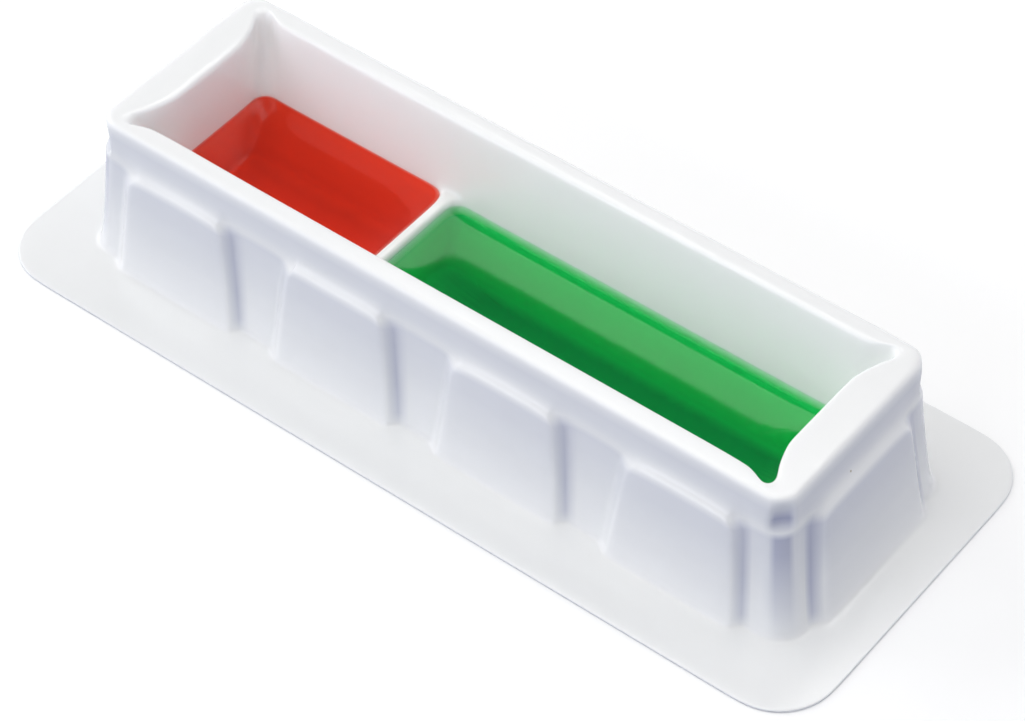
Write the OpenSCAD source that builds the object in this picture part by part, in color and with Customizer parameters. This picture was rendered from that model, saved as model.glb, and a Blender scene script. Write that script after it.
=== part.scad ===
// Divided reagent reservoir: a trough for multichannel pipettes, vacuum formed in
// one piece from thin white sheet, with a reagent standing in each of its two wells.
// X runs along the length, Y across it, Z up. The origin is under the middle of the base.

/* [Sheet and flange] */
// Thickness of the formed sheet
sheet_t = 0.5; // [0.3:0.05:0.6]
// Length of the flat flange that the reservoir stands on
flange_l = 150; // [120:1:200]
// Width of the flange
flange_w = 62.2; // [50:0.1:90]
// Radius of the flange's corners
flange_r = 9.4; // [3:0.1:14]
// Height of the rim above the table
height = 26.6; // [21:0.1:36]

/* [Skirt] */
// Flat flange left outside the foot of the skirt at each end
flange_end = 9; // [5:0.1:14]
// Flat flange left outside the foot of the skirt along each side
flange_side = 11.1; // [5:0.1:14]
// How far each end of the skirt leans in between foot and rim
end_lean = 3.3; // [1:0.1:6]
// How far each side of the skirt leans in between foot and rim
side_lean = 1.95; // [1:0.05:4]
// Plan radius of the skirt's corners
corner_r = 4.2; // [2.5:0.1:6]
// Radius that turns the skirt over into the flat rim
rim_fillet = 1.45; // [0.8:0.05:2]
// Radius of the cove between the skirt and the flange
cove_r = 0.9; // [0.3:0.1:1.5]

/* [Pads] */
// Number of stacking pads along each side
side_pads = 4; // [2:1:5]
// Width of a side pad at its foot
pad_w = 22.6; // [12:0.1:24]
// Clear skirt between the last side pad's foot and the end of the skirt
pad_margin = 8.4; // [6:0.1:12]
// Clear skirt between an end pad's foot and the side of the skirt
end_pad_margin = 7.1; // [6:0.1:10]
// How far a pad stands out of the skirt at its foot
pad_proud_foot = 1.65; // [1.3:0.05:2.2]
// How far a pad stands out of the skirt at its ledge
pad_proud_ledge = 1.4; // [1.2:0.05:2]
// How much narrower a pad is at its ledge than at its foot
pad_taper = 4.2; // [1:0.1:6]
// Depth of the pads' ledges below the rim
ledge_drop = 6.2; // [4:0.1:9]
// Radius of a pad's outer edges
pad_fillet = 0.85; // [0.7:0.05:1]
// Radius of a pad's two upper corners, seen from the front
pad_shoulder = 1.9; // [1.6:0.1:3]

/* [Corner notches] */
// Radius of the upright notch cut into each corner above the ledge line
notch_r = 4.7; // [3:0.1:6]
// Depth of a notch at its ledge
notch_depth = 1.1; // [0.6:0.1:1.5]

/* [Trough] */
// Width of the flat rim along each side
rim_side = 3.55; // [2.95:0.05:6]
// Width of the flat rim across each end
rim_end = 6.8; // [5:0.1:10]
// Radius that turns the rim down into the trough
lip_fillet = 0.9; // [0.7:0.05:1.3]
// Width of the trough at its floor
floor_w = 13.6; // [8:0.1:16]
// How far each end wall of the trough leans in between rim and floor
trough_end_lean = 1.5; // [0.5:0.1:4]
// Plan radius of the trough's upright corners
trough_r = 2.5; // [1.5:0.1:4]
// Radius between the walls and the floor of a well
floor_fillet = 2; // [1:0.1:3]
// Clearance between the table and the underside of the trough
floor_lift = 0.3; // [0:0.05:1]

/* [Pouring spouts] */
// How far a spout's tip reaches past the end wall of the trough
spout_reach = 2.4; // [1.5:0.1:3.5]
// How far a spout's tip reaches past the side wall of the trough
spout_side_reach = 1.1; // [0.5:0.1:1.8]
// Radius of a spout's tip
spout_r = 1.25; // [0.8:0.05:1.4]
// Length of a spout's taper along the end wall
spout_end_taper = 6.3; // [4:0.1:8]
// Length of a spout's taper along the side wall
spout_side_taper = 2; // [1:0.1:5]
// Height over which a spout runs out into the corner
spout_h = 11; // [6:0.1:12]

/* [Divider] */
// Pitch of the pipette tips that the wells are laid out for
tip_pitch = 9; // [4.5, 9]
// Number of tips that reach into both wells together
tips = 12; // [8:4:16]
// Number of tips that reach into the first well
first_well_tips = 4; // [2:1:6]
// Depth of the divider's crest below the rim
crest_drop = 11.4; // [8:0.1:15]
// Thickness of the divider just below its rounded crest
crest_w = 2.1; // [2:0.1:4]
// Radius of the rounded crest
crest_fillet = 0.95; // [0.7:0.05:0.95]
// How much thicker the divider is at the floor than at its crest
divider_taper = 3; // [1:0.1:5]

/* [Reagents] */
// Surface of the first reagent, below the divider's crest
first_fill_drop = 0.6; // [0.5:0.1:6]
// Surface of the second reagent, below the divider's crest
second_fill_drop = 1.6; // [0.5:0.1:6]
// Clearance between a reagent and the walls that hold it
reagent_gap = 0.05; // [0.02:0.01:0.2]

/* [Hidden] */

// How far a cutter reaches past what it cuts, and how deep a part sinks into its wall
past = 1;
sink = 0.01;
film = 0.01;
// Steps in a quarter round on the upper face of the sheet, and on its hidden lower face
face_steps = 3;
back_steps = 2;
round_steps = 48;

// Skirt sizes at the table, and the heights of the ledges, the crest and the floor
foot_l = flange_l - 2 * flange_end;
foot_w = flange_w - 2 * flange_side;
ledge_z = height - ledge_drop;
crest_z = height - crest_drop;
floor_z = floor_lift + sheet_t;

// Trough sizes at the rim and at the floor, and the place of the divider
mouth_l = skirt_l(height) - 2 * rim_end;
mouth_w = skirt_w(height) - 2 * rim_side;
floor_l = mouth_l - 2 * trough_end_lean;
divider_x = (first_well_tips - tips / 2) * tip_pitch;

// Spacing of the side pads, width of the end pads, and the coves around every pad
pad_pitch = (foot_l - 2 * pad_margin - pad_w) / (side_pads - 1);
end_pad_w = foot_w - 2 * end_pad_margin;
pad_root = 1.5;
pad_cove = pad_proud_ledge - pad_fillet;
ledge_cove = pad_cove / 2;
ledge_rise = 0.05;

// Distance of a notch's axis from the axis of the skirt's corner, along one side
notch_step = (corner_r - notch_depth + notch_r) / sqrt(2);

sheet_white = [0.96, 0.97, 0.96];
reagent_red = [0.82, 0.19, 0.13];
reagent_green = [0.10, 0.60, 0.28];

function lerp(a, b, t) = a + (b - a) * t;

// Length and width of the skirt at height z
function skirt_l(z) = foot_l - 2 * end_lean * z / height;
function skirt_w(z) = foot_w - 2 * side_lean * z / height;

// Length and width of the trough, and half the thickness of its divider, at height z
function rise(z) = (z - floor_z) / (height - floor_z);
function trough_l(z) = lerp(floor_l, mouth_l, rise(z));
function trough_w(z) = lerp(floor_w, mouth_w, rise(z));
function divider_half(z) = crest_w / 2 + divider_taper / 2 * (crest_z - z) / (crest_z - floor_z);

// Steps of the quarter rounds: fine on the upper face, where t is 0, coarse below
function steps(t) = t > 0 ? back_steps : face_steps;
function quarter(t) = [for (i = [0 : steps(t)]) i * 90 / steps(t)];

// An arc about c from angle a to angle b in n steps
function arc(c, r, a, b, n) = [
    for (i = [0 : n]) c + r * [cos(lerp(a, b, i / n)), sin(lerp(a, b, i / n))]
];

// A rectangle with rounded corners, from x = a to x = b and w wide
function round_box(a, b, w, r, n) = concat(
    arc([b - r, w / 2 - r], r, 0, 90, n),
    arc([a + r, w / 2 - r], r, 90, 180, n),
    arc([a + r, r - w / 2], r, 180, 270, n),
    arc([b - r, r - w / 2], r, 270, 360, n)
);

// A flat outline lifted to height z
function lift(outline, z) = [for (p = outline) [p.x, p.y, z]];

// Levels are pairs of a height and how far the outline there grows outwards.
// With t = 0 they follow the upper face of the sheet, with t = sheet_t its lower face.

// Cove between the flange and whatever stands on it, from the table up
function cove_levels(t) = concat(
    [[t > 0 ? -past : 0, cove_r]],
    [for (a = quarter(t)) [sheet_t + cove_r - (cove_r + t) * cos(a), cove_r - (cove_r + t) * sin(a)]]
);

// Convex edge of radius r under a flat top
function edge_levels(top, r, t) = [
    for (a = quarter(t)) [top - r + (r - t) * sin(a), -t - (r - t) * (1 - cos(a))]
];

// How far a corner of radius r below the ledge has drawn in at height z
function draw_in(z, r, t) =
    let (up = max(z - ledge_z + r, 0))
    r - t - sqrt(max(pow(r - t, 2) - pow(up, 2), 0));

// Rounded foot of a well
function foot_levels(t) = [
    for (a = quarter(t)) [
        floor_z + floor_fillet - (floor_fillet + t) * cos(a),
        (floor_fillet + t) * sin(a) - floor_fillet
    ]
];

// Rounded lip of the trough
function lip_levels(t) = concat(
    [for (a = quarter(t)) [height - lip_fillet + (lip_fillet - t) * sin(a), lip_fillet - (lip_fillet - t) * cos(a)]],
    [[height + past, lip_fillet]]
);

// A closed loft through rings that all have the same number of points
module loft(rings) {
    n = len(rings[0]);
    top = len(rings) - 1;
    walls = [
        for (i = [0 : top - 1], j = [0 : n - 1], k = [0, 1])
            k == 0
                ? [i * n + j, (i + 1) * n + j, (i + 1) * n + (j + 1) % n]
                : [i * n + j, (i + 1) * n + (j + 1) % n, i * n + (j + 1) % n]
    ];
    bottom_cap = [for (j = [0 : n - 1]) j];
    top_cap = [for (j = [0 : n - 1]) top * n + n - 1 - j];
    polyhedron([for (ring = rings) each ring], concat(walls, [bottom_cap, top_cap]));
}

// The flat flange
module flange() {
    linear_extrude(sheet_t)
        offset(flange_r, $fn = round_steps)
            square([flange_l - 2 * flange_r, flange_w - 2 * flange_r], center = true);
}

// The skirt as a solid block, or the hollow below the sheet if t is its thickness
module skirt(t) {
    loft([
        for (v = concat(cove_levels(t), edge_levels(height, rim_fillet, t)))
            let (half = skirt_l(v[0]) / 2 + v[1], r = corner_r + v[1])
            lift(round_box(-half, half, skirt_w(v[0]) + 2 * v[1], r, 2 * steps(t)), v[0])
    ]);
}

// Outline of a pad that stands proud of a wall at y = wall, with coves at its sides
function pad_outline(wall, half, proud, rise, g, n) =
    let (
        cove = max(pad_cove - g, 0.05),
        edge = min(max(pad_fillet + g, 0.05), proud - cove),
        outline = concat(
            arc([half + cove, cove], cove, 270, 180, n),
            arc([half - edge, proud - edge], edge, 0, 90, n),
            arc([edge - half, proud - edge], edge, 90, 180, n),
            arc([-half - cove, cove], cove, 0, -90, n)
        )
    )
    concat(
        [for (p = outline) [p.x, wall - sink + p.y * rise]],
        [[-half - cove, wall - pad_root], [half + cove, wall - pad_root]]
    );

// A pad that faces +Y, on a wall at distance foot that leans in by lean
module pad(foot, lean, width, t) {
    heights = concat(
        [ledge_z - pad_shoulder, ledge_z - 0.64 * pad_shoulder],
        [for (v = edge_levels(ledge_z, pad_fillet, t)) v[0]]
    );
    // Levels of a height, how far the wall grows, how far the pad draws in, and its rise
    levels = concat(
        [for (v = cove_levels(t)) [v[0], v[1], 0, 1]],
        [for (z = heights) [
            z,
            -t,
            draw_in(z, pad_shoulder, t),
            1 - draw_in(z, pad_fillet, t) / pad_proud_ledge
        ]],
        [for (a = quarter(t)) [
            ledge_z + ledge_rise + ledge_cove - (ledge_cove + t) * cos(a),
            -t,
            pad_shoulder - t,
            (ledge_cove + t) * (1 - sin(a)) / pad_proud_ledge
        ]]
    );
    loft([
        for (v = levels)
            let (
                wall = foot - lean * v[0] / height + v[1],
                half = width / 2 - pad_taper / 2 * v[0] / ledge_z + v[1] - v[2],
                proud = lerp(pad_proud_foot, pad_proud_ledge, min(v[0] / ledge_z, 1))
            )
            lift(pad_outline(wall, half, proud, v[3], v[1], steps(t)), v[0])
    ]);
}

// The row of pads on each side, and the one pad on each end
module pads(t) {
    for (turn = [0, 180]) {
        rotate(turn)
            for (i = [0 : side_pads - 1])
                translate([(i - (side_pads - 1) / 2) * pad_pitch, 0, 0])
                    pad(foot_w / 2, side_lean, pad_w, t);
        rotate(turn + 90)
            pad(foot_l / 2, end_lean, end_pad_w, t);
    }
}

// The upright notches that cut each corner down to the ledge line
module notches(t) {
    x = skirt_l(ledge_z) / 2 - corner_r + notch_step;
    y = skirt_w(ledge_z) / 2 - corner_r + notch_step;
    for (sx = [-1, 1], sy = [-1, 1])
        translate([sx * x, sy * y, ledge_z - t])
            cylinder(h = ledge_drop + past + t, r = notch_r + t, $fn = round_steps);
}

// The open trough above the divider
module trough_top(t) {
    levels = concat([[crest_z - t, t]], lip_levels(t));
    loft([
        for (v = levels)
            let (z = min(v[0], height), half = trough_l(z) / 2 + v[1], r = trough_r + v[1])
            lift(round_box(-half, half, trough_w(z) + 2 * v[1], r, 2 * steps(t)), v[0])
    ]);
}

// One well below the crest; side is -1 for the first well and 1 for the second
module well(side, t) {
    inner = crest_w / 2 - crest_fillet;
    walls = [for (v = foot_levels(t)) [v[0], v[1], divider_half(v[0]) - v[1]]];
    crest = [
        for (a = quarter(t))
            let (z = crest_z - crest_fillet + (crest_fillet - t) * sin(a))
            [z, t, inner + (crest_fillet - t) * cos(a)]
    ];
    levels = concat(walls, crest, [[crest_z + past, t - sink, inner]]);
    loft([
        for (v = levels)
            let (
                end = side * (trough_l(v[0]) / 2 + v[1]),
                near = divider_x + side * v[2],
                w = trough_w(v[0]) + 2 * v[1]
            )
            lift(round_box(min(end, near), max(end, near), w, trough_r + v[1], 2 * steps(t)), v[0])
    ]);
}

// Outline of the spout at the +X +Y corner at height z, grown by g
module spout_outline(z, g) {
    run = min((height - z) / spout_h, 1);
    x = trough_l(z) / 2;
    y = trough_w(z) / 2;
    tip = [
        x + lerp(spout_reach - spout_r, -trough_r, run),
        y + lerp(spout_side_reach - spout_r, -trough_r, run)
    ];
    inside = 1;
    hull() {
        translate(tip)
            circle(spout_r + g, $fn = round_steps / 2);
        translate([x - inside, y - inside - lerp(spout_end_taper, trough_r, run)])
            circle(inside + g, $fn = round_steps / 2);
        translate([x - inside - lerp(spout_side_taper, trough_r, run), y - inside])
            circle(inside + g, $fn = round_steps / 2);
    }
}

// The four pouring spouts
module spouts(t) {
    levels = concat([[height - spout_h, t]], lip_levels(t));
    for (sx = [0, 1], sy = [0, 1])
        mirror([sx, 0, 0])
            mirror([0, sy, 0])
                for (i = [1 : len(levels) - 1])
                    hull()
                        for (v = [levels[i - 1], levels[i]])
                            translate([0, 0, v[0]])
                                linear_extrude(film)
                                    spout_outline(min(v[0], height), v[1]);
}

// Everything that the trough leaves open, or the outside of its sheet
module trough(t) {
    trough_top(t);
    well(-1, t);
    well(1, t);
    spouts(t);
}

// The reagent in one well, with its surface at height z
module reagent(side, z) {
    intersection() {
        well(side, -reagent_gap);
        translate([-flange_l / 2, -flange_w / 2, 0])
            cube([flange_l, flange_w, z]);
    }
}

// The whole reservoir as one sheet: a block less the trough and less the hollow below it
module reservoir() {
    color(sheet_white)
        difference() {
            union() {
                flange();
                skirt(0);
                pads(0);
            }
            trough(0);
            notches(0);
            difference() {
                union() {
                    skirt(sheet_t);
                    pads(sheet_t);
                }
                trough(sheet_t);
                notches(sheet_t);
            }
        }
}

module first_reagent() {
    color(reagent_red)
        reagent(-1, crest_z - first_fill_drop);
}

module second_reagent() {
    color(reagent_green)
        reagent(1, crest_z - second_fill_drop);
}

reservoir();
first_reagent();
second_reagent();
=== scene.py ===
# %% [markdown]
# # A divided reagent reservoir
# The real object is a trough for multichannel pipettes. One thin white sheet of plastic was
# warmed and drawn over a mould, which made the flange, the skirt with its stacking pads, the
# rim, the pouring spouts and the two wells in one go. A red and a green reagent stand in it.
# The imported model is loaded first, because it fixes the size and place of every piece.

# %% Load the frame
import math

import bmesh
import bpy
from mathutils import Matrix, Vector


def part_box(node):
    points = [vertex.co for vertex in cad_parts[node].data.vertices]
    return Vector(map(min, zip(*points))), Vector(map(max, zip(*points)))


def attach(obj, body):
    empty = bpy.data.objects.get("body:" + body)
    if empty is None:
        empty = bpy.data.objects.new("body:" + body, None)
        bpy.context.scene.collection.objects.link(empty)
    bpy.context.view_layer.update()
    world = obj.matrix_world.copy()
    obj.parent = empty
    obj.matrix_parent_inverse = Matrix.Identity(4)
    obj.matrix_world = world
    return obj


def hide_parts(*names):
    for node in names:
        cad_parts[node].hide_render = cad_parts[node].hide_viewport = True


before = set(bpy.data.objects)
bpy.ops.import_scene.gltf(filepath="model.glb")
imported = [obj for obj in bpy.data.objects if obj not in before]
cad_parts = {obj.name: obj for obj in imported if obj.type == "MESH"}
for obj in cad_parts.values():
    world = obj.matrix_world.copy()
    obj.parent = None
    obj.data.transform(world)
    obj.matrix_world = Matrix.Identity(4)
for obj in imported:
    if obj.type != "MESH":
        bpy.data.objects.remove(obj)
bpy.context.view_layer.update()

MM = 0.001


# %% [markdown]
# ## Sizes
# A mould maker's drawing gives plan sizes at the table and at the rim, and says how far each
# wall leans between the two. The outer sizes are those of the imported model. The other numbers
# are named here, in millimetres, and every later place is worked out from them.

# %% Sizes of the sheet
HALF_LENGTH, HALF_WIDTH, HEIGHT = (round(side / MM, 3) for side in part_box("reservoir")[1])
SHEET = 0.5  # thickness after forming
FLANGE_RADIUS = 9.4
FLANGE_EDGE = 0.35  # how close to the edge the second row of points runs
FLANGE_LIFT = 0.03  # keeps the flange's underside just off the table
FOOT_X, FOOT_Y = 66.0, 20.0
LEAN_X, LEAN_Y = 3.3, 1.95
FLARE = 1.7  # above 1, a wall leans most at its foot
LEFT_DRAW = 1.0  # how much further in the left end stands at its foot
CORNER_FOOT, CORNER_TOP = 4.4, 3.2
COVE = 1.5  # the rounding between flange and skirt
LOW_SKIRT = 8.0
RIM_ROUND, RIM_SHARE = 2.5, 0.5
LEDGE = 20.4
print("the sheet is", SHEET, "mm thick and stands", HEIGHT, "mm tall")

# %% Sizes of the pads and notches
PAD_CENTRES = (46.2, 15.4, -15.4, -46.2)
PAD_HALF_FOOT, PAD_HALF_LEDGE = 11.3, 9.3
END_PAD_HALF_FOOT, END_PAD_HALF_LEDGE = 12.9, 11.2
PROUD_FOOT, PROUD_LEDGE = 1.65, 1.85  # how far a pad stands out of the wall
# Height over the ledge, and the share of its depth that a pad still has there.
LEDGE_FALL = ((-3.4, 1.0), (-1.4, 0.95), (-0.3, 0.76), (0.2, 0.22), (1.7, 0.03))
# How far outside a pad's edge each of its columns lies.
STEEP_FLANK = {"wall": 2.2, "valley": 0.85, "edge": -0.3, "face": -1.3}
GENTLE_FLANK = {"wall": 2.2, "valley": 1.2, "edge": -0.65, "face": -1.7}
# The two upper corners of a pad are rounded by this much, in a band round the ledge.
PAD_CORNER = 0.8
CORNER_START, CORNER_BELOW, CORNER_ABOVE = 0.4, 1.6, 1.0
PAD_GROWTH = 0.57  # how far a pad's edges follow an outline that grows
NOTCH_RADIUS = 4.7
NOTCH_DEPTH = 1.1
print(len(PAD_CENTRES), "pads along each side")

# %% Sizes of the trough
MOUTH_X, MOUTH_Y = 55.9, 14.5
FLOOR_X, FLOOR_Y = 54.4, 6.8
FLOOR_Z = 0.8
TROUGH_RADIUS = 2.5
LIP_ROUND, LIP_SHARE = 1.6, 0.45
FLOOR_ROUND = 2.3
SPOUT_DEPTH = 11.0
DIVIDER_X = -18.0
CREST = 15.15
CREST_HALF = 0.9
DIVIDER_SPREAD = 0.9  # how much thicker, each way, the divider is at the floor
DIVIDER_ROUND = 2.9  # where it meets the long walls
CREST_FAN = (4.4, 3.0, 1.8)
CREST_ENDS = ((0.8, 0.55), (3.0, 0.0))  # inset from the wall, and extra half thickness
WELL_SHOULDER = 2.2  # how far the round of the crest reaches down
TROUGH_LEVELS = (HEIGHT - LIP_ROUND, 21.5, CREST + 2.7, CREST)
print("each well is", round(CREST - FLOOR_Z, 2), "mm deep up to the crest of the divider")

# %% [markdown]
# ## The outlines
# Every level of the sheet is one closed outline, and neighbouring levels carry the same
# columns of points, so that a wall is simply the stretch between two outlines. Because the
# reservoir is the same on both sides of its length, only the back half is drawn: it starts
# in the middle of the right end, turns the corner, follows the back and ends in the middle
# of the left end. Subdivision then rounds each bend, and the spacing of the points beside a
# bend sets how wide it is. It also cuts across round corners, so their points stand out by a
# swell of one to five per cent.

# %% The columns of an outline
def mix(a, b, t):
    return a + (b - a) * t


END_COLUMNS = (("middle", 0), ("face", 1), ("edge", 1), ("valley", 0), ("wall", 0))
CORNER_TURNS = (0, 15, 30, 45, 60, 75, 90)
SKIRT_SWELL, TROUGH_SWELL, WELL_SWELL = 1.011, 1.026, 1.05
DIVIDER_SKIRT = (-13.5, -15.5, -16.9, -18.0, -19.1, -20.5, -22.5)


def make_columns():
    """One entry a column: its kind, the end it belongs to, and what places it."""
    right = [("end", 1, i) for i in range(len(END_COLUMNS))]
    right += [("corner", 1, turn) for turn in CORNER_TURNS]
    back = []
    for centre in PAD_CENTRES:
        back += [("pad", centre, (1, kind)) for kind in ("wall", "valley", "edge", "face")]
        if abs(centre - DIVIDER_X) < PAD_HALF_LEDGE:
            back += [("divider", 0, i) for i in range(len(DIVIDER_SKIRT))]
        back += [("pad", centre, (-1, kind)) for kind in ("face", "edge", "valley", "wall")]
    left = [("corner", -1, turn) for turn in reversed(CORNER_TURNS)]
    left += [("end", -1, i) for i in reversed(range(len(END_COLUMNS)))]
    return right + back + left


columns = make_columns()
print(len(columns), "columns in half an outline")

# %% A point of the skirt
def pad_offset(kind, grow, z, flank):
    """How far from a pad's edge a column lies, where the outline has grown by grow."""
    shift = 0.0 if kind == "face" else PAD_GROWTH * grow
    rounded = kind in ("valley", "edge") and z > LEDGE - CORNER_START
    return flank[kind] + shift - (PAD_CORNER if rounded else 0.0)


def shoulder_drop(kind, z):
    """How far the two upper corners of a pad are lowered."""
    lowered = kind in ("valley", "edge") and -CORNER_BELOW < z - LEDGE < CORNER_ABOVE
    return PAD_CORNER if lowered else 0.0


def drawn_in(z):
    """The share of its lean that a wall has reached at height z; it flares at the foot."""
    return 1.0 - max(1.0 - z / HEIGHT, 0.0) ** FLARE


def corner_radius(z):
    """The skirt's corners tighten towards the rim."""
    return mix(CORNER_FOOT, CORNER_TOP, z / HEIGHT)


def skirt_point(column, z, grow=0.0, pads=1.0):
    """The skirt at height z, grown outwards, with its pads risen to a share of their depth."""
    kind, where, which = column
    half_x = FOOT_X - LEAN_X * drawn_in(z) + grow
    half_y = FOOT_Y - LEAN_Y * drawn_in(z) + grow
    if kind in ("end", "corner") and where < 0:
        half_x -= LEFT_DRAW * (1.0 - drawn_in(z))
    down = min(z / LEDGE, 1.0)
    proud = pads * mix(PROUD_FOOT, PROUD_LEDGE, down)
    if kind == "corner":
        turn = math.radians(which)
        plain = corner_radius(z) + grow
        radius = plain * (1.0 if which in (0, 90) else SKIRT_SWELL)
        x = half_x - plain + radius * math.cos(turn)
        y = half_y - plain + radius * math.sin(turn)
        return Vector((where * x, y, z))
    if kind == "end":
        name, raised = END_COLUMNS[which]
        half = mix(END_PAD_HALF_FOOT, END_PAD_HALF_LEDGE, down)
        y = 0.0 if name == "middle" else half + pad_offset(name, grow, z, GENTLE_FLANK)
        raised = 1 if name == "middle" else raised
        return Vector((where * (half_x + proud * raised), y, z - shoulder_drop(name, z)))
    if kind == "divider":
        return Vector((DIVIDER_SKIRT[which], half_y + proud, z))
    side, name = which
    half = mix(PAD_HALF_FOOT, PAD_HALF_LEDGE, down)
    flank = STEEP_FLANK if side > 0 else GENTLE_FLANK
    raised = 1 if name in ("edge", "face") else 0
    x = where + side * (half + pad_offset(name, grow, z, flank))
    return Vector((x, half_y + proud * raised, z - shoulder_drop(name, z)))


print("the skirt's foot reaches", skirt_point(columns[0], 0.0, 0.0, 0.0).x, "mm from the middle")

# %% [markdown]
# The flange is a plain rounded rectangle. The notches are upright cylinders that cut away
# each corner of the skirt above the ledges, so a point that would lie inside such a cylinder
# is moved out to its surface.

# %% Points of the flange and of the notched corners
FLANGE_FAN = 2.0  # spreads the columns of the pads a little on their way to the edge


def flange_point(column, inset, z):
    """The flange's outline, drawn in by inset."""
    kind, where, which = column
    if kind == "corner":
        turn = math.radians(which)
        radius = FLANGE_RADIUS - inset
        x = HALF_LENGTH - FLANGE_RADIUS + radius * math.cos(turn)
        y = HALF_WIDTH - FLANGE_RADIUS + radius * math.sin(turn)
        return Vector((where * x, y, z))
    at = skirt_point(column, 0.0, FLANGE_FAN)
    if kind == "end":
        return Vector((where * (HALF_LENGTH - inset), at.y, z))
    return Vector((at.x, HALF_WIDTH - inset, z))


def notched(point):
    """Moves a point of the skirt out of the upright notch at its corner."""
    half_x = FOOT_X - LEAN_X * drawn_in(LEDGE)
    half_y = FOOT_Y - LEAN_Y * drawn_in(LEDGE)
    radius = corner_radius(LEDGE)
    step = (radius - NOTCH_DEPTH + NOTCH_RADIUS) / math.sqrt(2) - radius
    axis = Vector((math.copysign(half_x + step, point.x), half_y + step))
    away = Vector((point.x, point.y)) - axis
    if away.length < NOTCH_RADIUS:
        away *= NOTCH_RADIUS / away.length
        point.x, point.y = axis + away
    return point


print("a notch is", NOTCH_DEPTH, "mm deep at its ledge")

# %% [markdown]
# ## The trough's outlines
# The trough narrows towards its floor. At each corner of its mouth a small spout bulges out:
# a rounded tip just past the corner, with a long taper back to the end wall and a short one
# to the side wall. The bulge runs out into the corner a little above the liquid.

# %% The corner of the trough
SPOUT = (
    (0.0, -8.2), (0.05, -6.6), (0.62, -4.6), (1.25, -2.8), (1.95, -1.5), (2.62, -0.2),
    (2.4, 1.0), (1.3, 1.45), (0.0, 0.85), (-1.3, 0.2), (-3.0, 0.0),
)
STRAIGHT = (0.5, 0.66, 0.8, 0.92)
PLAIN_TURNS = (0.0, 22.5, 45.0, 67.5, 90.0)
PAST_CORNER = (0.7, 1.4)


def trough_half(z):
    """Half the length and half the width of the trough at height z."""
    up = (z - FLOOR_Z) / (HEIGHT - FLOOR_Z)
    return mix(FLOOR_X, MOUTH_X, up), mix(FLOOR_Y, MOUTH_Y, up)


def plain_corner(half_x, half_y, grow):
    """Eleven points round a corner without a spout, from the end wall to the side wall."""
    radius = TROUGH_RADIUS + grow
    cx, cy = half_x - radius, half_y - radius
    points = [(half_x, cy * share) for share in STRAIGHT]
    for degrees in PLAIN_TURNS:
        turn = math.radians(degrees)
        r = radius * (1.0 if degrees in (0.0, 90.0) else TROUGH_SWELL)
        points.append((cx + r * math.cos(turn), cy + r * math.sin(turn)))
    return points + [(cx - step, half_y) for step in PAST_CORNER]


def corner_points(z, grow):
    """The same eleven points, with the spout run out by depth."""
    half_x, half_y = trough_half(z)
    half_x, half_y = half_x + grow, half_y + grow
    run = min(max((HEIGHT - z) / SPOUT_DEPTH, 0.0), 1.0)
    plain = plain_corner(half_x, half_y, grow)
    bulge = [(half_x + dx, half_y + dy) for dx, dy in SPOUT]
    return [(mix(b[0], p[0], run), mix(b[1], p[1], run)) for b, p in zip(bulge, plain)]


print("a spout reaches", max(dx for dx, dy in SPOUT), "mm past the end wall")

# %% A point of the trough
SIDE_ANCHORS = ((59.6, 51.2), (-7.15, -9.8), (-23.65, -25.6), (-59.6, -51.2))
END_FACE_SHARE = 0.55


def side_place(x):
    """Where a column of the skirt's long side meets the trough's long side."""
    for (a, pa), (b, pb) in zip(SIDE_ANCHORS, SIDE_ANCHORS[1:]):
        if x >= b or b == SIDE_ANCHORS[-1][0]:
            return mix(pa, pb, (x - a) / (b - a))


def divider_half(z):
    """Half the thickness of the divider at height z."""
    return CREST_HALF + DIVIDER_SPREAD * max(CREST - z, 0.0) / (CREST - FLOOR_Z)


def divider_place(which):
    """Where the columns over the divider lie along it, above the crest."""
    fan = [CREST_HALF + spread for spread in CREST_FAN]
    return DIVIDER_X + (fan + [0.0] + [-x for x in reversed(fan)])[which]


def trough_row(z, grow=0.0):
    """Half an outline of the trough at height z, one place a column."""
    half_x, half_y = trough_half(z)
    half_x, half_y = half_x + grow, half_y + grow
    corner = corner_points(z, grow)
    first_end = corner[0][1] * END_FACE_SHARE
    row = []
    for i, column in enumerate(columns):
        kind, where, which = column
        if kind == "end" and which < 2:
            place = Vector((where * half_x, first_end * which, z))
        elif kind == "end":
            place = Vector((where * corner[which - 2][0], corner[which - 2][1], z))
        elif kind == "corner":
            x, y = corner[3 + CORNER_TURNS.index(which)]
            place = Vector((where * x, y, z))
        elif kind == "divider":
            place = Vector((divider_place(which), half_y, z))
        elif "corner" in (columns[i - 1][0], columns[i + 1][0]):
            x, y = corner[10]
            place = Vector((math.copysign(x, where), y, z))
        else:
            place = Vector((side_place(skirt_point(column, LEDGE).x), half_y, z))
        row.append(place)
    return row


print("the trough's mouth is", 2 * MOUTH_X, "by", 2 * MOUTH_Y, "mm")

# %% [markdown]
# ## Drawing the sheet
# One row of points at the edge of the flange is the only thing made one by one. Each further
# row comes from extruding the edges of the last one and setting it down on the next outline:
# over the flange, up the skirt and its pads, across the rim and down into the trough. This
# is how a box modeller would work, and it keeps the sheet one seamless skin.

# %% Extruding a row
def start_row(bm, places):
    """A chain of points and edges."""
    row = [bm.verts.new(place * MM) for place in places]
    for a, b in zip(row, row[1:]):
        bm.edges.new((a, b))
    return row


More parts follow.
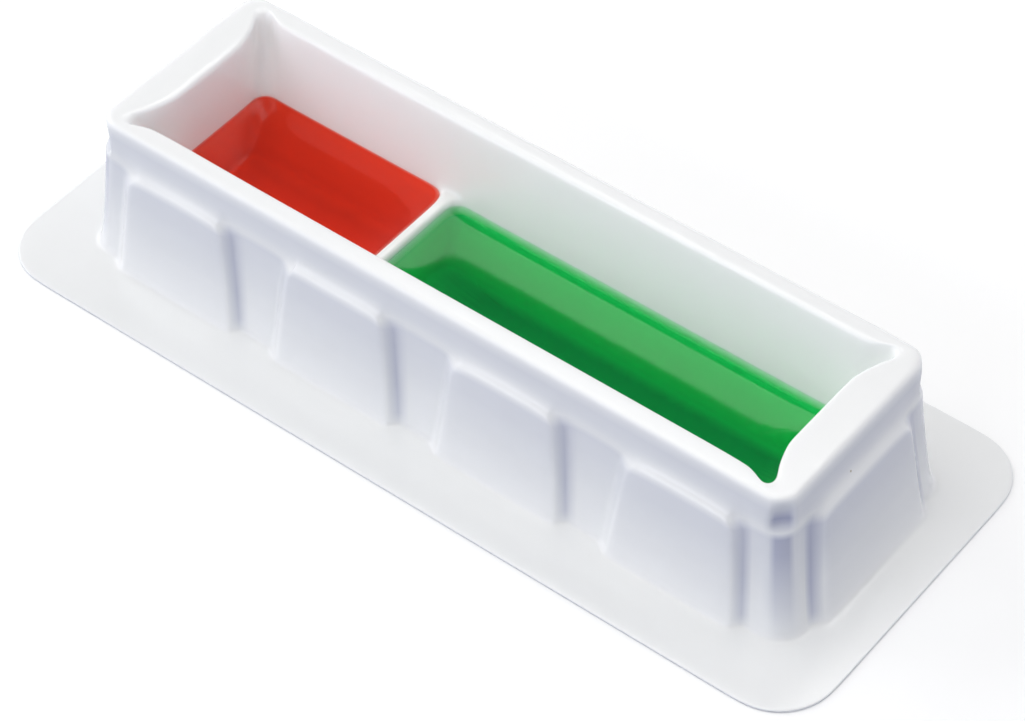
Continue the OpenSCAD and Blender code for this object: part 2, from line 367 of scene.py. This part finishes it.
def extrude_row(bm, row, places):
    """Extrudes the edges between a row's points and sets the new row at the places."""
    edges = [bm.edges.get((a, b)) for a, b in zip(row, row[1:])]
    made = bmesh.ops.extrude_edge_only(bm, edges=edges)["geom"]
    fresh = {v for v in made if isinstance(v, bmesh.types.BMVert)}
    new_row = []
    for vert, place in zip(row, places):
        mate = next(e.other_vert(vert) for e in vert.link_edges if e.other_vert(vert) in fresh)
        mate.co = place * MM
        new_row.append(mate)
    return new_row


print("rows are extruded one from the next")

# %% The levels of the outer skin
def skin_rows():
    """The outlines of the sheet from the edge of the flange to the crest of the divider."""
    rows = [[flange_point(c, FLANGE_EDGE, SHEET) for c in columns]]
    rows.append([skirt_point(c, 0.0, COVE) for c in columns])
    rows.append([skirt_point(c, 0.0) for c in columns])
    for row in rows[1:]:
        for place in row:
            place.z = SHEET + FLANGE_LIFT
    rows += [[skirt_point(c, z) for c in columns] for z in (SHEET + COVE, LOW_SKIRT)]
    for rise, share in LEDGE_FALL:
        row = [skirt_point(c, LEDGE + rise, pads=share) for c in columns]
        rows.append([notched(place) for place in row] if rise > 0 else row)
    rows.append([notched(skirt_point(c, HEIGHT - RIM_ROUND, pads=0.0)) for c in columns])
    rim_out = [skirt_point(c, HEIGHT, pads=0.0) for c in columns]
    rim_in = trough_row(HEIGHT)
    rows.append(rim_out)
    roundings = (
        (RIM_ROUND, RIM_SHARE, rim_out, rim_in),
        (LIP_ROUND, LIP_SHARE, rim_in, rim_out),
    )
    for reach, share, near, far in roundings:
        row = []
        for a, b in zip(near, far):
            step = (b - a).length
            row.append(a.lerp(b, min(reach, share * step) / step))
        rows.append(row)
    rows.append(rim_in)
    return rows + [trough_row(z) for z in TROUGH_LEVELS]


levels = skin_rows()
print(len(levels), "levels from the flange to the divider's crest")

# %% [markdown]
# ## The divider and the wells
# The divider is a low wall between the wells, drawn up from the floor, with a rounded crest.
# Its crest is a strip extruded from three columns of the long wall to the middle plane. The
# rim of each well is then part of the wall's last row plus one edge of that strip, and it is
# extruded down to the floor like the rest.

# %% The outline of a well
STRIP_SHARES = (0.5, 0.0)
WELL_TURNS = (68, 45, 22)
NARROW_SHARE = 0.4  # keeps the two roundings of a narrow floor apart
STRAIGHT_START, FIRST_STEP = 1.35, 1.2


def well_row(side, z, grow=0.0, turn_in=0.0):
    """Half an outline of a well; side is 1 for the large well and -1 for the small one."""
    full = trough_row(z, grow - turn_in)
    half_y = trough_half(z)[1] + grow - turn_in
    face = DIVIDER_X + side * (divider_half(z) - grow + turn_in)
    radius = min(DIVIDER_ROUND, NARROW_SHARE * half_y)
    straight = half_y - STRAIGHT_START * radius
    wanted = [i for i, c in enumerate(columns) if c[0] == "divider"]
    row = full[: wanted[0]] if side > 0 else full[wanted[-1] + 1 :][::-1]
    row.append(Vector((face + side * (radius + FIRST_STEP), half_y, z)))
    for degrees in WELL_TURNS:
        turn = math.radians(degrees)
        x = face + side * radius * (1 - WELL_SWELL * math.cos(turn))
        y = half_y - radius * (1 - WELL_SWELL * math.sin(turn))
        row.append(Vector((x, y, z)))
    row.append(Vector((face, straight, z)))
    row += [Vector((face, straight * share, z)) for share in STRIP_SHARES]
    return row


print("the divider is", round(2 * divider_half(FLOOR_Z), 2), "mm thick at the floor")

# %% [markdown]
# Shade is painted into the sheet as a darker, bluer colour: in its corners and notches, in the
# valley on one side of each pad, in bands along the upper walls and on the floors of the wells.
# Each point of the skin carries a number for this painted shade, and the material reads it. The
# numbers are not worked out from how a sheet stretches: they were adjusted until the shades
# looked right. The two floors show it: a real sheet would have stretched alike in both wells,
# and the large one has twice the share because its liquid looks darker.

# %% Where shade is painted on the sheet
# For a level of the skin: the share of painted shade in its corners and the share in the valley
# beside a pad.
PAINTED_SHADE_ROWS = {
    3: (0.1, 0.4), 4: (0.3, 0.5), 5: (0.6, 0.5), 6: (0.65, 0.5), 7: (0.1, 0.25),
    8: (0.4, 0.0), 9: (0.8, 0.0), 10: (0.3, 0.0),
}
# For a level, the share of painted shade along the whole wall, and for a well the share on its
# floor.
PAINTED_SHADE_WALLS = {5: 0.17, 6: 0.22, 9: 0.13, 10: 0.19}
PAINTED_SHADE_FLOORS = {1: 0.95, -1: 0.42}
FLOOR_EDGE_SHARE = 0.55
END_WALL_GAIN, END_VALLEY_GAIN = 1.4, 1.3
CORNER_HALF_TURN, CORNER_FADE = 37, 22  # degrees each way from the corner's middle


def thinning(column, level):
    """How much painted shade a column of the outer skin has at a level, from 0 to 1."""
    kind, where, which = column
    corner, valley = PAINTED_SHADE_ROWS.get(level, (0.0, 0.0))
    plain = PAINTED_SHADE_WALLS.get(level, 0.0)
    if kind == "corner":
        near = (CORNER_HALF_TURN - abs(which - 45)) / CORNER_FADE
        return max(corner * min(max(near, 0.0), 1.0), plain)
    if kind == "end":
        plain *= END_WALL_GAIN
        in_valley = END_COLUMNS[which][0] == "valley"
        return max(min(END_VALLEY_GAIN * valley, 1.0), plain) if in_valley else plain
    return max(valley, plain) if kind == "pad" and which == (1, "valley") else plain


print("the sheet is shaded darker in its corners, its valleys and on the floors of the wells")

# %% Build the skin
def round_a_floor(edge):
    """True for an open edge at the floor of a well."""
    start = edge.verts[0].co / MM
    return edge.is_boundary and start.z < FLOOR_Z + 0.4 and abs(start.y) < FLOOR_Y + 3.2


def build_skin():
    """The upper face of the sheet, as half a cage and its mirror image."""
    bm = bmesh.new()
    # each point of the skin carries its share of painted shade
    thin = bm.verts.layers.float.new("thin")
    row = start_row(bm, [flange_point(c, 0.0, SHEET) for c in columns])
    for level, places in enumerate(levels):
        row = extrude_row(bm, row, places)
        for vert, column in zip(row, columns):
            vert[thin] = thinning(column, level)
    over = [i for i, c in enumerate(columns) if c[0] == "divider"]
    crest = [row[i] for i in over[2:5]]
    half_y = trough_half(CREST)[1]
    strips = [crest]
    steps = [(half_y - inset, fan) for inset, fan in CREST_ENDS]
    for y, fan in steps + [(half_y * share, 0.0) for share in STRIP_SHARES]:
        places = [Vector((DIVIDER_X + i * (CREST_HALF + fan), y, CREST)) for i in (1, 0, -1)]
        strips.append(extrude_row(bm, strips[-1], places))
    bmesh.ops.recalc_face_normals(bm, faces=bm.faces[:])
    for side in (1, -1):
        edge = [strip[0 if side > 0 else 2] for strip in strips]
        wall = row[: over[1] + 1] if side > 0 else row[over[5] :][::-1]
        mouth = wall + edge
        # painted shade on this well's floor, and a part of it round the floor's edge
        thinned = PAINTED_SHADE_FLOORS[side]
        steps = (
            (CREST - WELL_SHOULDER, 0.0),
            (FLOOR_Z + FLOOR_ROUND, 0.0),
            (FLOOR_Z, FLOOR_EDGE_SHARE * thinned),
        )
        for z, share in steps:
            mouth = extrude_row(bm, mouth, well_row(side, z))
            for vert in mouth:
                vert[thin] = share
        mouth = extrude_row(bm, mouth, well_row(side, FLOOR_Z, turn_in=FLOOR_ROUND))
        for vert in mouth:
            vert[thin] = thinned
    whole = bm.verts[:] + bm.edges[:] + bm.faces[:]
    bmesh.ops.mirror(bm, geom=whole, axis="Y", merge_dist=1e-6)
    bmesh.ops.remove_doubles(bm, verts=bm.verts[:], dist=1e-6)
    bmesh.ops.holes_fill(bm, edges=[e for e in bm.edges if round_a_floor(e)], sides=0)
    bmesh.ops.recalc_face_normals(bm, faces=bm.faces[:])
    if max(bm.faces, key=lambda f: f.calc_area()).normal.z < 0:
        bmesh.ops.reverse_faces(bm, faces=bm.faces[:])
    return bm


skin = build_skin()
print(len(skin.faces), "faces in the cage, open edges:", sum(e.is_boundary for e in skin.edges))

# %% [markdown]
# The skin becomes a sheet with the Solidify modifier, which hangs the thickness below the
# upper face, and Subdivision Surface rounds both faces together.

# %% The reservoir
def finish_piece(name, bm, node, levels_of_rounding, sheet=0.0):
    """Turns a cage into a shown piece that rides on the root and stands for a node."""
    mesh = bpy.data.meshes.new(name)
    bm.to_mesh(mesh)
    bm.free()
    for face in mesh.polygons:
        face.use_smooth = True
    piece = bpy.data.objects.new(name, mesh)
    bpy.context.scene.collection.objects.link(piece)
    if sheet:
        wall = piece.modifiers.new("Sheet", "SOLIDIFY")
        wall.thickness = sheet
        wall.offset = -1.0
        wall.use_even_offset = True
    smooth = piece.modifiers.new("Rounding", "SUBSURF")
    smooth.levels = levels_of_rounding
    smooth.render_levels = levels_of_rounding
    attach(piece, "root")
    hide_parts(node)
    return piece


reservoir = finish_piece("formed_sheet", skin, "reservoir", 2, SHEET * MM)
print("the reservoir is one sheet,", SHEET, "mm thick")

# %% [markdown]
# ## The reagents
# A liquid fills its well to the walls, lies flat in the middle and climbs a little where it
# wets the sheet. The climb dies away over the capillary length of water, 2.7 mm. The body of
# the liquid follows the same outlines as the well and reaches a hair into the sheet, so that
# no film of air is left between the two.

# %% Build a reagent
CAPILLARY_LENGTH = 2.7
CORNER_BLEND = 1.5
WET = 0.18  # how far a liquid reaches into the sheet
INNER_RINGS = (1.0, 0.68, 0.42, 0.2, 0.0)  # shares of the way to the middle line
INNER_INSET = 2.0
MIDDLE_SHARE = 0.45  # the middle line stops this share of the length from each end
EDGE_INSETS = (1.1, 0.4, -WET)
BELOW_EDGE = 0.5
RED_LEVEL, RED_CLIMB, RED_FADES = 14.25, 0.5, (1.0, 1.0, 0.5)
GREEN_LEVEL, GREEN_CLIMB, GREEN_FADES = 13.2, 1.0, (1.0, 0.6, 0.0)


def risen(place, ends, half_width):
    """The share of its climb that the surface has kept at a place: every wall lifts it."""
    walls = (place.x - ends[0], ends[1] - place.x, half_width - place.y, half_width + place.y)
    lift = sum(math.exp(-CORNER_BLEND * wall / CAPILLARY_LENGTH) for wall in walls)
    return lift ** (1 / CORNER_BLEND)


def build_reagent(side, level, climb, fades):
    """The liquid in one well: its level in the middle, its climb, and how its edge fades."""
    bm = bmesh.new()
    depth = bm.verts.layers.float.new("depth")
    brim = well_row(side, level + climb)
    ends = (min(p.x for p in brim), max(p.x for p in brim))
    half_width = max(p.y for p in brim)
    edge = well_row(side, level, turn_in=INNER_INSET)
    reach = min(half_width, MIDDLE_SHARE * (ends[1] - ends[0]))
    middles = [min(max(p.x, ends[0] + reach), ends[1] - reach) for p in edge]
    rings = []
    for share in INNER_RINGS:
        rings.append([p.lerp(Vector((x, 0.0, p.z)), share) for p, x in zip(edge, middles)])
    for inset in EDGE_INSETS:
        kept = math.exp(-inset / CAPILLARY_LENGTH)
        rings.append(well_row(side, level + climb * kept, turn_in=inset))
    for ring in rings:
        for p in ring:
            p.z = level + climb * risen(p, ends, half_width)
    for z in (level - BELOW_EDGE, FLOOR_Z + FLOOR_ROUND, FLOOR_Z - WET):
        rings.append(well_row(side, z, WET))
    rings.append(well_row(side, FLOOR_Z - WET, turn_in=FLOOR_ROUND))
    rows = [start_row(bm, rings[0])]
    for places in rings[1:]:
        rows.append(extrude_row(bm, rows[-1], places))
    below = len(rings) - len(INNER_RINGS) - len(fades)
    values = len(INNER_RINGS) * (1.0,) + fades + below * (1.0,)
    for row, value in zip(rows, values):
        for vert in row:
            vert[depth] = value
    whole = bm.verts[:] + bm.edges[:] + bm.faces[:]
    bmesh.ops.mirror(bm, geom=whole, axis="Y", merge_dist=1e-6)
    bmesh.ops.remove_doubles(bm, verts=bm.verts[:], dist=1e-6)
    bmesh.ops.holes_fill(bm, edges=[e for e in bm.edges if e.is_boundary], sides=0)
    bmesh.ops.recalc_face_normals(bm, faces=bm.faces[:])
    return bm


red_body = build_reagent(-1, RED_LEVEL, RED_CLIMB, RED_FADES)
green_body = build_reagent(1, GREEN_LEVEL, GREEN_CLIMB, GREEN_FADES)
first_reagent = finish_piece("red_reagent", red_body, "first_reagent", 2)
second_reagent = finish_piece("green_reagent", green_body, "second_reagent", 2)
print("the reagents stand", RED_LEVEL, "and", GREEN_LEVEL, "mm above the table")

# %% [markdown]
# ## Materials
# Colours are noted as the eye sees them, in sRGB, and one function turns them into the
# linear values that a shader works in. A second small function adds a node with its settings
# and links, so that a material reads as a list of steps.

# %% Helpers for materials
def colour(hex_code):
    """An sRGB colour such as F0F2F4, as linear red, green, blue and alpha."""
    parts = [int(hex_code[i : i + 2], 16) / 255 for i in (0, 2, 4)]
    return [c / 12.92 if c <= 0.04045 else ((c + 0.055) / 1.055) ** 2.4 for c in parts] + [1.0]


def add(tree, kind, values=None, **settings):
    """Adds a node; values maps sockets to numbers, colours or other nodes' outputs."""
    node = tree.nodes.new(kind)
    for name, value in settings.items():
        setattr(node, name, value)
    for key, value in (values or {}).items():
        if isinstance(value, bpy.types.NodeSocket):
            tree.links.new(value, node.inputs[key])
        else:
            node.inputs[key].default_value = value
    return node


def new_material(name):
    """An empty node material and its output node."""
    material = bpy.data.materials.new(name)
    material.use_nodes = True
    tree = material.node_tree
    tree.nodes.clear()
    return material, tree, tree.nodes.new("ShaderNodeOutputMaterial")


WHITE = colour("FFFFFF")
print("white comes out as", [round(c, 3) for c in WHITE])

# %% [markdown]
# ### White polystyrene sheet
# High impact polystyrene, vacuum formed. The sheet is glossy as rolled, and drawing it over
# the mould leaves a very slight ripple about two centimetres wide and a fine grain where the
# hot sheet touched the tool. A little light passes into it. Painted shade, a bluer and darker
# colour, is mixed in by the number that each point of the skin carries. One small brown speck
# sits above the ledge of the right end.

# %% White polystyrene
SHEET_WHITES = ("F5F7F6", "F8F9F8")
# the colour of the painted shade
PAINTED_SHADE_COLOUR = "8A90B6"
RIPPLE, RIPPLE_HEIGHT = 18.0, 0.2
GRAIN, GRAIN_HEIGHT = 0.5, 0.004
SCATTER = 1.0  # how far light travels inside the sheet
SPECK_PLACE, SPECK_RADIUS, SPECK_BROWN = (63.15, -2.8, 20.95), 0.3, "A5925F"


def white_polystyrene():
    """Vacuum formed high impact polystyrene: IOR 1.59, roughness 0.16 to 0.21."""
    material, tree, out = new_material("white_polystyrene")
    place = add(tree, "ShaderNodeTexCoord").outputs["Object"]
    ripple = add(
        tree, "ShaderNodeTexNoise", {"Vector": place, "Scale": 1 / (RIPPLE * MM), "Detail": 1.0}
    ).outputs["Fac"]
    grain = add(
        tree, "ShaderNodeTexNoise", {"Vector": place, "Scale": 1 / (GRAIN * MM), "Detail": 2.0}
    ).outputs["Fac"]
    one_white, other_white = (colour(white) for white in SHEET_WHITES)
    tint = add(
        tree, "ShaderNodeMixRGB", {"Fac": ripple, "Color1": one_white, "Color2": other_white}
    )
    rough = add(
        tree, "ShaderNodeMapRange",
        {"Value": grain, "From Min": 0.3, "From Max": 0.7, "To Min": 0.16, "To Max": 0.21},
    )
    wave = add(
        tree, "ShaderNodeBump",
        {"Height": ripple, "Strength": 0.3, "Distance": RIPPLE_HEIGHT * MM},
    )
    fine = add(
        tree, "ShaderNodeBump",
        {
            "Height": grain, "Strength": 0.1, "Distance": GRAIN_HEIGHT * MM,
            "Normal": wave.outputs["Normal"],
        },
    )
    # painted shade: the darker, bluer colour is mixed in by each point's share
    thin = add(tree, "ShaderNodeAttribute", attribute_name="thin").outputs["Fac"]
    with_shade = add(
        tree, "ShaderNodeMixRGB",
        {"Fac": thin, "Color1": tint.outputs["Color"], "Color2": colour(PAINTED_SHADE_COLOUR)},
    )
    away = add(
        tree, "ShaderNodeVectorMath", {0: place, 1: Vector(SPECK_PLACE) * MM},
        operation="DISTANCE",
    )
    dirty = add(
        tree, "ShaderNodeMapRange",
        {
            "Value": away.outputs["Value"], "From Min": 0.5 * SPECK_RADIUS * MM,
            "From Max": SPECK_RADIUS * MM, "To Min": 1.0, "To Max": 0.0,
        },
    )
    specked = add(
        tree, "ShaderNodeMixRGB",
        {
            "Fac": dirty.outputs["Result"], "Color1": with_shade.outputs["Color"],
            "Color2": colour(SPECK_BROWN),
        },
    )
    shader = add(
        tree, "ShaderNodeBsdfPrincipled",
        {
            "Base Color": specked.outputs["Color"],
            "Subsurface Weight": 0.5,
            "Subsurface Radius": (1.0, 1.0, 1.0),
            "Subsurface Scale": SCATTER * MM,
            "Roughness": rough.outputs["Result"],
            "Normal": fine.outputs["Normal"],
            "IOR": 1.59,
        },
    )
    tree.links.new(shader.outputs["BSDF"], out.inputs["Surface"])
    return material


reservoir.data.materials.append(white_polystyrene())
print("white polystyrene on", reservoir.name)

# %% [markdown]
# ### Watery reagents
# A clear dye solution, poured in. A strong dye takes most of its share of the light within a
# millimetre or two, and this part is a tint that a ray picks up as it crosses the surface.
# The tints and densities were adjusted by their look and are not those of a known dye.
# The attribute "depth" fades it where the liquid thins out over a wall. The volume takes a
# little more with every millimetre. The surface itself is plain water, IOR 1.333 and almost
# perfectly smooth, with a swell too slight to see as such. Lamps shine through the surface as
# they do through real water.

# %% Clear dye solution
SWELL, SWELL_HEIGHT = 9.0, 0.1
RED_TINT, RED_PASSES, RED_DENSITY = "F33E23", "F99595", 16.0
GREEN_TINT, GREEN_PASSES, GREEN_DENSITY = "12D15D", "00E17C", 20.0


def dye_solution(name, tint, passes, density):
    """Coloured water: a strong dye tints it at once and a little more with depth."""
    material, tree, out = new_material(name)
    place = add(tree, "ShaderNodeTexCoord").outputs["Object"]
    deep = add(tree, "ShaderNodeAttribute", attribute_name="depth").outputs["Fac"]
    swell = add(
        tree, "ShaderNodeTexNoise", {"Vector": place, "Scale": 1 / (SWELL * MM), "Detail": 1.0}
    )
    bump = add(
        tree, "ShaderNodeBump",
        {"Height": swell.outputs["Fac"], "Strength": 0.1, "Distance": SWELL_HEIGHT * MM},
    )
    in_and_out = colour(tint)
    once = [c ** 0.5 for c in in_and_out]
    both_ways = add(tree, "ShaderNodeMixRGB", {"Fac": deep, "Color1": WHITE, "Color2": in_and_out})
    one_way = add(tree, "ShaderNodeMixRGB", {"Fac": deep, "Color1": WHITE, "Color2": once})
    water = add(
        tree, "ShaderNodeBsdfPrincipled",
        {
            "Base Color": both_ways.outputs[0], "Roughness": 0.05, "IOR": 1.333,
            "Transmission Weight": 1.0, "Normal": bump.outputs["Normal"],
        },
    )
    clear = add(tree, "ShaderNodeBsdfTransparent", {"Color": one_way.outputs[0]})
    shadow = add(tree, "ShaderNodeLightPath").outputs["Is Shadow Ray"]
    surface = add(
        tree, "ShaderNodeMixShader", {0: shadow, 1: water.outputs[0], 2: clear.outputs[0]}
    )
    tree.links.new(surface.outputs[0], out.inputs["Surface"])
    dye = add(
        tree, "ShaderNodeVolumeAbsorption", {"Color": colour(passes), "Density": density}
    )
    tree.links.new(dye.outputs[0], out.inputs["Volume"])
    return material


red_dye = dye_solution("red_dye_solution", RED_TINT, RED_PASSES, RED_DENSITY)
green_dye = dye_solution("green_dye_solution", GREEN_TINT, GREEN_PASSES, GREEN_DENSITY)
first_reagent.data.materials.append(red_dye)
second_reagent.data.materials.append(green_dye)
print("dye solutions in both wells")

# %% [markdown]
# ## The studio
# The reservoir stands on a pale table in soft light. The light that bounces off the table is
# a cool grey, and whatever looks at the table, or sees it mirrored, finds it white apart from
# the soft shadow of the object. The walls of the room are a bright, slightly cool white, and
# its ceiling is dim, so that the flat liquids don't mirror it as haze.

# %% Table and world
TABLE_SIZE = 3.0  # metres each way from the middle
TABLE_BOUNCE, TABLE_PAINT, TABLE_LIFT = "8E95A6", "F4F4F4", 0.12
WALL_WHITE, WALL_STRENGTH = "F1F2FF", 0.9
CEILING_STRENGTH = 0.135
CEILING_START, CEILING_FULL = 0.35, 0.7  # heights of a direction, as shares of straight up


def make_floor():
    """A wide pale table that keeps the object's shadow."""
    bm = bmesh.new()
    bmesh.ops.create_grid(bm, x_segments=1, y_segments=1, size=TABLE_SIZE)
    mesh = bpy.data.meshes.new("table_top")
    bm.to_mesh(mesh)
    bm.free()
    floor = bpy.data.objects.new("table_top", mesh)
    bpy.context.scene.collection.objects.link(floor)
    material, tree, out = new_material("pale_table")
    bounced = add(tree, "ShaderNodeBsdfDiffuse", {"Color": colour(TABLE_BOUNCE)})
    paint = add(tree, "ShaderNodeBsdfDiffuse", {"Color": colour(TABLE_PAINT)})
    lift = add(tree, "ShaderNodeEmission", {"Color": WHITE, "Strength": TABLE_LIFT})
    white = add(tree, "ShaderNodeAddShader", {0: paint.outputs[0], 1: lift.outputs[0]})
    rays = add(tree, "ShaderNodeLightPath")
    mirrored = add(
        tree, "ShaderNodeMath",
        {0: rays.outputs["Is Glossy Ray"], 1: rays.outputs["Is Transmission Ray"]},
        operation="MAXIMUM",
    )
    seen = add(
        tree, "ShaderNodeMath", {0: rays.outputs["Is Camera Ray"], 1: mirrored.outputs[0]},
        operation="MAXIMUM",
    )
    mixed = add(
        tree, "ShaderNodeMixShader",
        {0: seen.outputs[0], 1: bounced.outputs[0], 2: white.outputs[0]},
    )
    tree.links.new(mixed.outputs[0], out.inputs["Surface"])
    mesh.materials.append(material)
    return floor


def make_world():
    """A room with bright walls and a dim ceiling."""
    world = bpy.data.worlds.new("studio")
    bpy.context.scene.world = world
    world.use_nodes = True
    tree = world.node_tree
    tree.nodes.clear()
    out = tree.nodes.new("ShaderNodeOutputWorld")
    towards = add(tree, "ShaderNodeTexCoord").outputs["Generated"]
    height = add(tree, "ShaderNodeSeparateXYZ", {0: towards}).outputs["Z"]
    upper = add(
        tree, "ShaderNodeMapRange",
        {
            "Value": height, "From Min": CEILING_START, "From Max": CEILING_FULL,
            "To Min": 0.0, "To Max": 1.0,
        },
    )
    walls = add(
        tree, "ShaderNodeBackground", {"Color": colour(WALL_WHITE), "Strength": WALL_STRENGTH}
    )
    ceiling = add(tree, "ShaderNodeBackground", {"Color": WHITE, "Strength": CEILING_STRENGTH})
    room = add(
        tree, "ShaderNodeMixShader",
        {0: upper.outputs[0], 1: walls.outputs[0], 2: ceiling.outputs[0]},
    )
    tree.links.new(room.outputs[0], out.inputs["Surface"])


make_floor()
make_world()
print("the table lies at the foot of the reservoir")

# %% [markdown]
# Five soft panels stand round the table: over it, in front, over the near edge, at the left,
# and high at the back, where the green liquid mirrors it as a long bright band. Places and
# sizes are in metres and powers in watts, and each tint gives the shares of red, green and
# blue light.

# %% Lamps
PANEL_TARGET_HEIGHT = 0.01
PANELS = (
    ("overhead_panel", (0.0, -0.05, 0.9), (0.9, 0.6), 2.45, (1.0, 0.985, 0.92), 0.0),
    ("front_panel", (-0.2, -0.85, 0.5), (0.9, 0.35), 2.1, (0.88, 0.91, 1.0), 0.0),
    ("main_panel", (-0.2, -0.32, 0.87), (0.8, 0.75), 1.12, (1.0, 1.0, 0.94), 0.0),
    ("left_panel", (-0.85, -0.1, 0.5), (0.9, 0.6), 2.8, (1.0, 1.0, 1.0), 0.0),
    ("high_back_panel", (0.09, 0.493, 0.904), (1.3, 0.238), 2.8, (1.0, 1.0, 1.0), 0.09),
)


def add_panel(name, place, size, power, tint, aim):
    """A rectangular soft light that faces the reservoir, at a place along its length."""
    lamp = bpy.data.lights.new(name, "AREA")
    lamp.shape = "RECTANGLE"
    lamp.size, lamp.size_y = size
    lamp.energy = power
    lamp.color = tint
    panel = bpy.data.objects.new(name, lamp)
    panel.location = place
    panel.rotation_mode = "QUATERNION"
    beam = Vector((aim, 0.0, PANEL_TARGET_HEIGHT)) - Vector(place)
    panel.rotation_quaternion = beam.to_track_quat("-Z", "Y")
    bpy.context.scene.collection.objects.link(panel)
    return panel


for settings in PANELS:
    add_panel(*settings)
print(len(PANELS), "soft panels light the table")

# %% [markdown]
# ## The camera
# The view is from the front right and well above, with a long lens, so that the walls look
# nearly parallel and both liquids can be seen.

# %% Camera
CAMERA_PLACE = (224.0, -285.05, 387.46)
LOOKING_ALONG = (-0.41916, 0.53871, -0.73082)
LENS, SENSOR_WIDTH = 124.5, 36.0


def make_camera():
    """A long lens at the front right, looking down at 47 degrees."""
    data = bpy.data.cameras.new("camera")
    data.sensor_width = SENSOR_WIDTH
    data.lens = LENS
    camera = bpy.data.objects.new("camera", data)
    camera.location = Vector(CAMERA_PLACE) * MM
    camera.rotation_mode = "QUATERNION"
    camera.rotation_quaternion = Vector(LOOKING_ALONG).to_track_quat("-Z", "Y")
    bpy.context.scene.collection.objects.link(camera)
    bpy.context.scene.camera = camera
    bpy.context.scene.view_settings.view_transform = "Standard"


make_camera()
print("camera lens", LENS, "mm")
